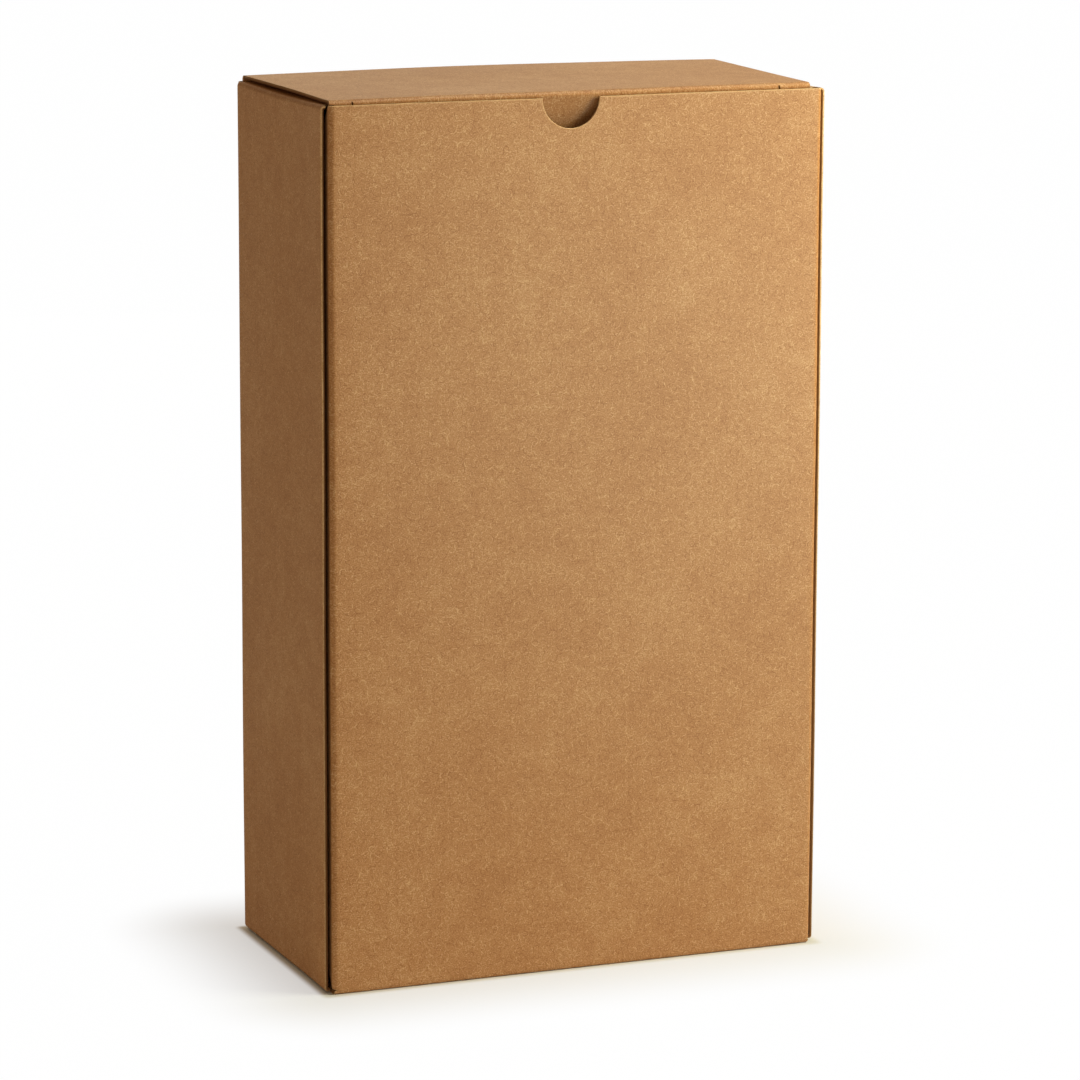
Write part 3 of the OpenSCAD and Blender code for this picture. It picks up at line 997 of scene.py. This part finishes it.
def kraft_material(name, brown, pale, dark, contrast, roughness):
    """Clouds, fibres, specks and slow drift mixed into one brown, with a shallow bump from the fibres."""
    material, tree, shader = board_material(name, 0.5)
    # The crease value also carries painted highlights and painted shade
    place, crease = blank_values(tree)
    flat = vector_node(tree, "MULTIPLY", place, (1, 1, 0))
    drift, clouds, grain = (noise(tree, flat, *settings) for settings in (DRIFT, CLOUDS, GRAIN))
    tone = MEAN_TONE
    for layer, strength in ((drift, 0.5), (clouds, 0.5), (grain, 1.4 * contrast)):
        tone = math_node(tree, "MULTIPLY_ADD", math_node(tree, "SUBTRACT", layer, 0.5), strength, tone)
    before = tone
    for start, scale, strength in CURL_LAYERS:
        tone = math_node(tree, "MULTIPLY_ADD", curls(tree, flat, start, scale), strength * contrast, tone)
    fibres = math_node(tree, "SUBTRACT", tone, before)
    # It shifts the tone: paler at stretched folds and as painted highlight, darker as painted shade
    tone = math_node(tree, "MULTIPLY_ADD", crease, CREASE_AND_PAINTED_LIGHT_TONE, tone)
    colour = mix_colour(tree, math_node(tree, "MULTIPLY", tone, 2.0), dark, brown)
    colour = mix_colour(tree, math_node(tree, "MULTIPLY_ADD", tone, 2.0, -1.0), colour, pale)
    distance, chance = scattered(tree, flat, SPECKS, "3D")
    speck = math_node(tree, "MULTIPLY", band(tree, distance, 0.16, 0.06), band(tree, chance, 0.93, 0.95))
    colour = mix_colour(tree, math_node(tree, "MULTIPLY", speck, SPECK_TONE), colour, dark)
    # Where the value is below 0 the colour is darkened, a painted shade, and the paper is made too rough to
    # shine
    shade = math_node(tree, "MINIMUM", math_node(tree, "ADD", crease, 1.0), 1.0)
    colour = node(tree, "ShaderNodeVectorMath", {0: colour, "Scale": shade}, operation="SCALE").outputs[0]
    tree.links.new(colour, shader.inputs["Base Color"])
    tree.links.new(band(tree, shade, 1.0, 0.6, roughness, 1.0), shader.inputs["Roughness"])
    height = math_node(tree, "MULTIPLY_ADD", clouds, 0.8, math_node(tree, "ADD", fibres, grain))
    bump = node(tree, "ShaderNodeBump", {"Height": height, "Strength": 0.6, "Distance": 0.00006})
    tree.links.new(bump.outputs[0], shader.inputs["Normal"])
    return material


KRAFT_BROWN = (0.52, 0.240, 0.084, 1)
KRAFT_PALE = (0.71, 0.435, 0.222, 1)
KRAFT_DARK = (0.37, 0.145, 0.038, 1)
outside = kraft_material("kraft_outside", KRAFT_BROWN, KRAFT_PALE, KRAFT_DARK, 1.0, 0.52)
inside = kraft_material("kraft_inside", (0.47, 0.235, 0.092, 1), (0.63, 0.36, 0.17, 1), KRAFT_DARK, 0.7, 0.7)

# %% [markdown]
# Cut edges
#
# The die opens fresh fibres, so the outer ply of a cut edge is paler and duller than the paper's face; its
# pale colour is raised past that, a painted highlight. The inner plies are dark, partly as in recycled board
# and partly as painted shade. The lid's edges get a much darker copy of the colours, a painted shade.

# %% Cut edges
# Dark of the inner plies, also standing in as painted shade
INNER_PLY_AND_SHADE = (0.17, 0.068, 0.018, 1)


def edge_material(name, brown, pale):
    """Cut board: short pale fibres with darker pits, from noise at the scale of the board's thickness."""
    material, tree, shader = board_material(name, 0.25)
    crease = blank_values(tree)[1]
    place = node(tree, "ShaderNodeTexCoord").outputs["Object"]
    fine = noise(tree, place, 2400, 2.0, 0.6)
    slow = noise(tree, place, 180)
    tone = math_node(tree, "MULTIPLY_ADD", math_node(tree, "SUBTRACT", slow, 0.5), 0.6, fine)
    colour = mix_colour(tree, band(tree, tone, 0.25, 0.7), brown, pale)
    # Below 0 the colour turns to the dark inner ply: painted shade over the cut's inner part
    colour = mix_colour(tree, band(tree, crease, -0.8, -0.25), INNER_PLY_AND_SHADE, colour)
    tree.links.new(colour, shader.inputs["Base Color"])
    bump = node(tree, "ShaderNodeBump", {"Height": fine, "Strength": 0.7, "Distance": 0.00008})
    tree.links.new(bump.outputs[0], shader.inputs["Normal"])
    shader.inputs["Roughness"].default_value = 0.85
    return material


# The pale is raised into a painted highlight; the lid's edges are a darker copy, painted shade
cut_edge = edge_material("kraft_cut_edge", (0.62, 0.38, 0.18, 1), (0.90, 0.62, 0.35, 1))
lid_edge_painted_dark = edge_material("kraft_cut_edge_of_the_lid", (0.22, 0.105, 0.04, 1), (0.32, 0.165, 0.07, 1))
for piece, edge in ((body_board, cut_edge), (lid_board, lid_edge_painted_dark), (crease_board, cut_edge)):
    for material in (outside, inside, edge):
        piece.data.materials.append(material)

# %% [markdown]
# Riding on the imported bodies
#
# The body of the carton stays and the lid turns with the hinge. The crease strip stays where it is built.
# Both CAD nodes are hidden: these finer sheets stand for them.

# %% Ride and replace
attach(body_board, "carton_body")
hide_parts("carton_body")
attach(lid_board, "lid")
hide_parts("lid")
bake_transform(crease_board)

# %% [markdown]
# The floor
#
# The carton stands on a white sweep. In a studio it has lamps of its own. Here the floor shows the camera
# its own white instead, and less of it close to the carton, so that a soft shadow stays there.

# %% Floor
FLOOR_HALF, FLOOR_Z, WHITE = 12.0, -0.00005, (1, 1, 1, 1)
NEAR_WHITE, FAR_WHITE = 0.48, 0.995
# Metres from the carton over which the floor turns white, and over which its contact shadow ends
FADE, CONTACT = (-0.01, 0.06), (0.0002, 0.004)
corners = [(x * FLOOR_HALF, y * FLOOR_HALF, FLOOR_Z) for x, y in ((-1, -1), (1, -1), (1, 1), (-1, 1))]
floor_mesh = bpy.data.meshes.new("floor")
floor_mesh.from_pydata(corners, [], [(0, 1, 2, 3)])
floor = new_object("floor", floor_mesh)

floor_material = bpy.data.materials.new("white_sweep")
floor_material.use_nodes = True
tree = floor_material.node_tree
tree.nodes.remove(tree.nodes["Principled BSDF"])
paper = node(tree, "ShaderNodeBsdfDiffuse", {"Color": (0.82, 0.82, 0.82, 1)})
glow = node(tree, "ShaderNodeEmission", {"Color": WHITE, "Strength": 1.0})
place = node(tree, "ShaderNodeTexCoord").outputs["Object"]
beside = vector_node(tree, "ABSOLUTE", place)
beside = vector_node(tree, "SUBTRACT", beside, (BOX_W * MM / 2, BOX_D * MM / 2, 0))
beside = vector_node(tree, "MAXIMUM", beside)
away = node(tree, "ShaderNodeVectorMath", {0: beside}, operation="LENGTH").outputs["Value"]
share = band(tree, away, *FADE, NEAR_WHITE, FAR_WHITE)
share = math_node(tree, "MULTIPLY", share, band(tree, away, *CONTACT))
share = math_node(tree, "MULTIPLY", share, node(tree, "ShaderNodeLightPath").outputs["Is Camera Ray"])
both = node(tree, "ShaderNodeMixShader", {0: share, 1: paper.outputs[0], 2: glow.outputs[0]})
tree.links.new(both.outputs[0], tree.nodes["Material Output"].inputs["Surface"])
floor_mesh.materials.append(floor_material)
print("the floor is", 2 * FLOOR_HALF, "m wide")

# %% [markdown]
# The surroundings
#
# A studio's walls and sweep give back a weak, warm light, and the left wall gets little else. A world of
# one even colour does that. The camera sees white behind the carton.

# %% World
SURROUNDINGS = (0.347, 0.279, 0.189, 1)
world = bpy.data.worlds.new("studio")
bpy.context.scene.world = world
world.use_nodes = True
tree = world.node_tree
seen = node(tree, "ShaderNodeLightPath").outputs["Is Camera Ray"]
tree.links.new(mix_colour(tree, seen, SURROUNDINGS, WHITE), tree.nodes["Background"].inputs["Color"])
print("light of the surroundings:", SURROUNDINGS[:3])

# %% [markdown]
# The lamps
#
# The key is a soft lamp near on the right, in front and above, so the front wall grows lighter to the right.
# A large warm lamp behind lights the lid. Two reflectors only give gloss: one lays a pale sheen over the
# upper right of the front, and the other draws a pale line along the lid's round front fold.

# %% Lamps
def soft_lamp(name, place, target, size, power, tint):
    """A square area lamp that looks at a point."""
    data = bpy.data.lights.new(name, "AREA")
    data.shape = "SQUARE"
    data.size, data.energy, data.color = size, power, tint
    lamp = new_object(name, data)
    lamp.location = place
    lamp.rotation_mode = "QUATERNION"
    lamp.rotation_quaternion = (Vector(target) - Vector(place)).to_track_quat("-Z", "Y")
    lamp.visible_camera = False
    print("lamp", name, "gives", power, "W")
    return lamp


key = soft_lamp("key", (0.45, -0.28, 0.50), (0.0, -0.03, 0.25), 0.25, 3.78, (0.98, 1.0, 0.77))
# The key stands so near that its mirror image would burn a white patch on the lid in some views
key.visible_glossy = False
soft_lamp("back", (0.30, 1.60, 0.55), (0.0, 0.0, 0.30), 1.2, 5.8, (1.0, 0.86, 0.64))
for name, place, target, power, tint in (
    ("front_gloss", (0.355, -0.587, 0.20), (0.1, -0.05, 0.28), 2.3, (0.71, 1.0, 0.88)),
    ("fold_gloss", (0.25, -0.15, 1.0), (0.0, -0.05, 0.34), 1.7, (0.85, 0.95, 1.0)),
):
    gloss = soft_lamp(name, place, target, 0.25, power, tint)
    gloss.visible_diffuse = False

# %% [markdown]
# Colours
#
# The Standard view keeps the colours as they are computed, so the paper stays as brown as it is.

# %% Colour management
bpy.context.scene.view_settings.view_transform = "Standard"
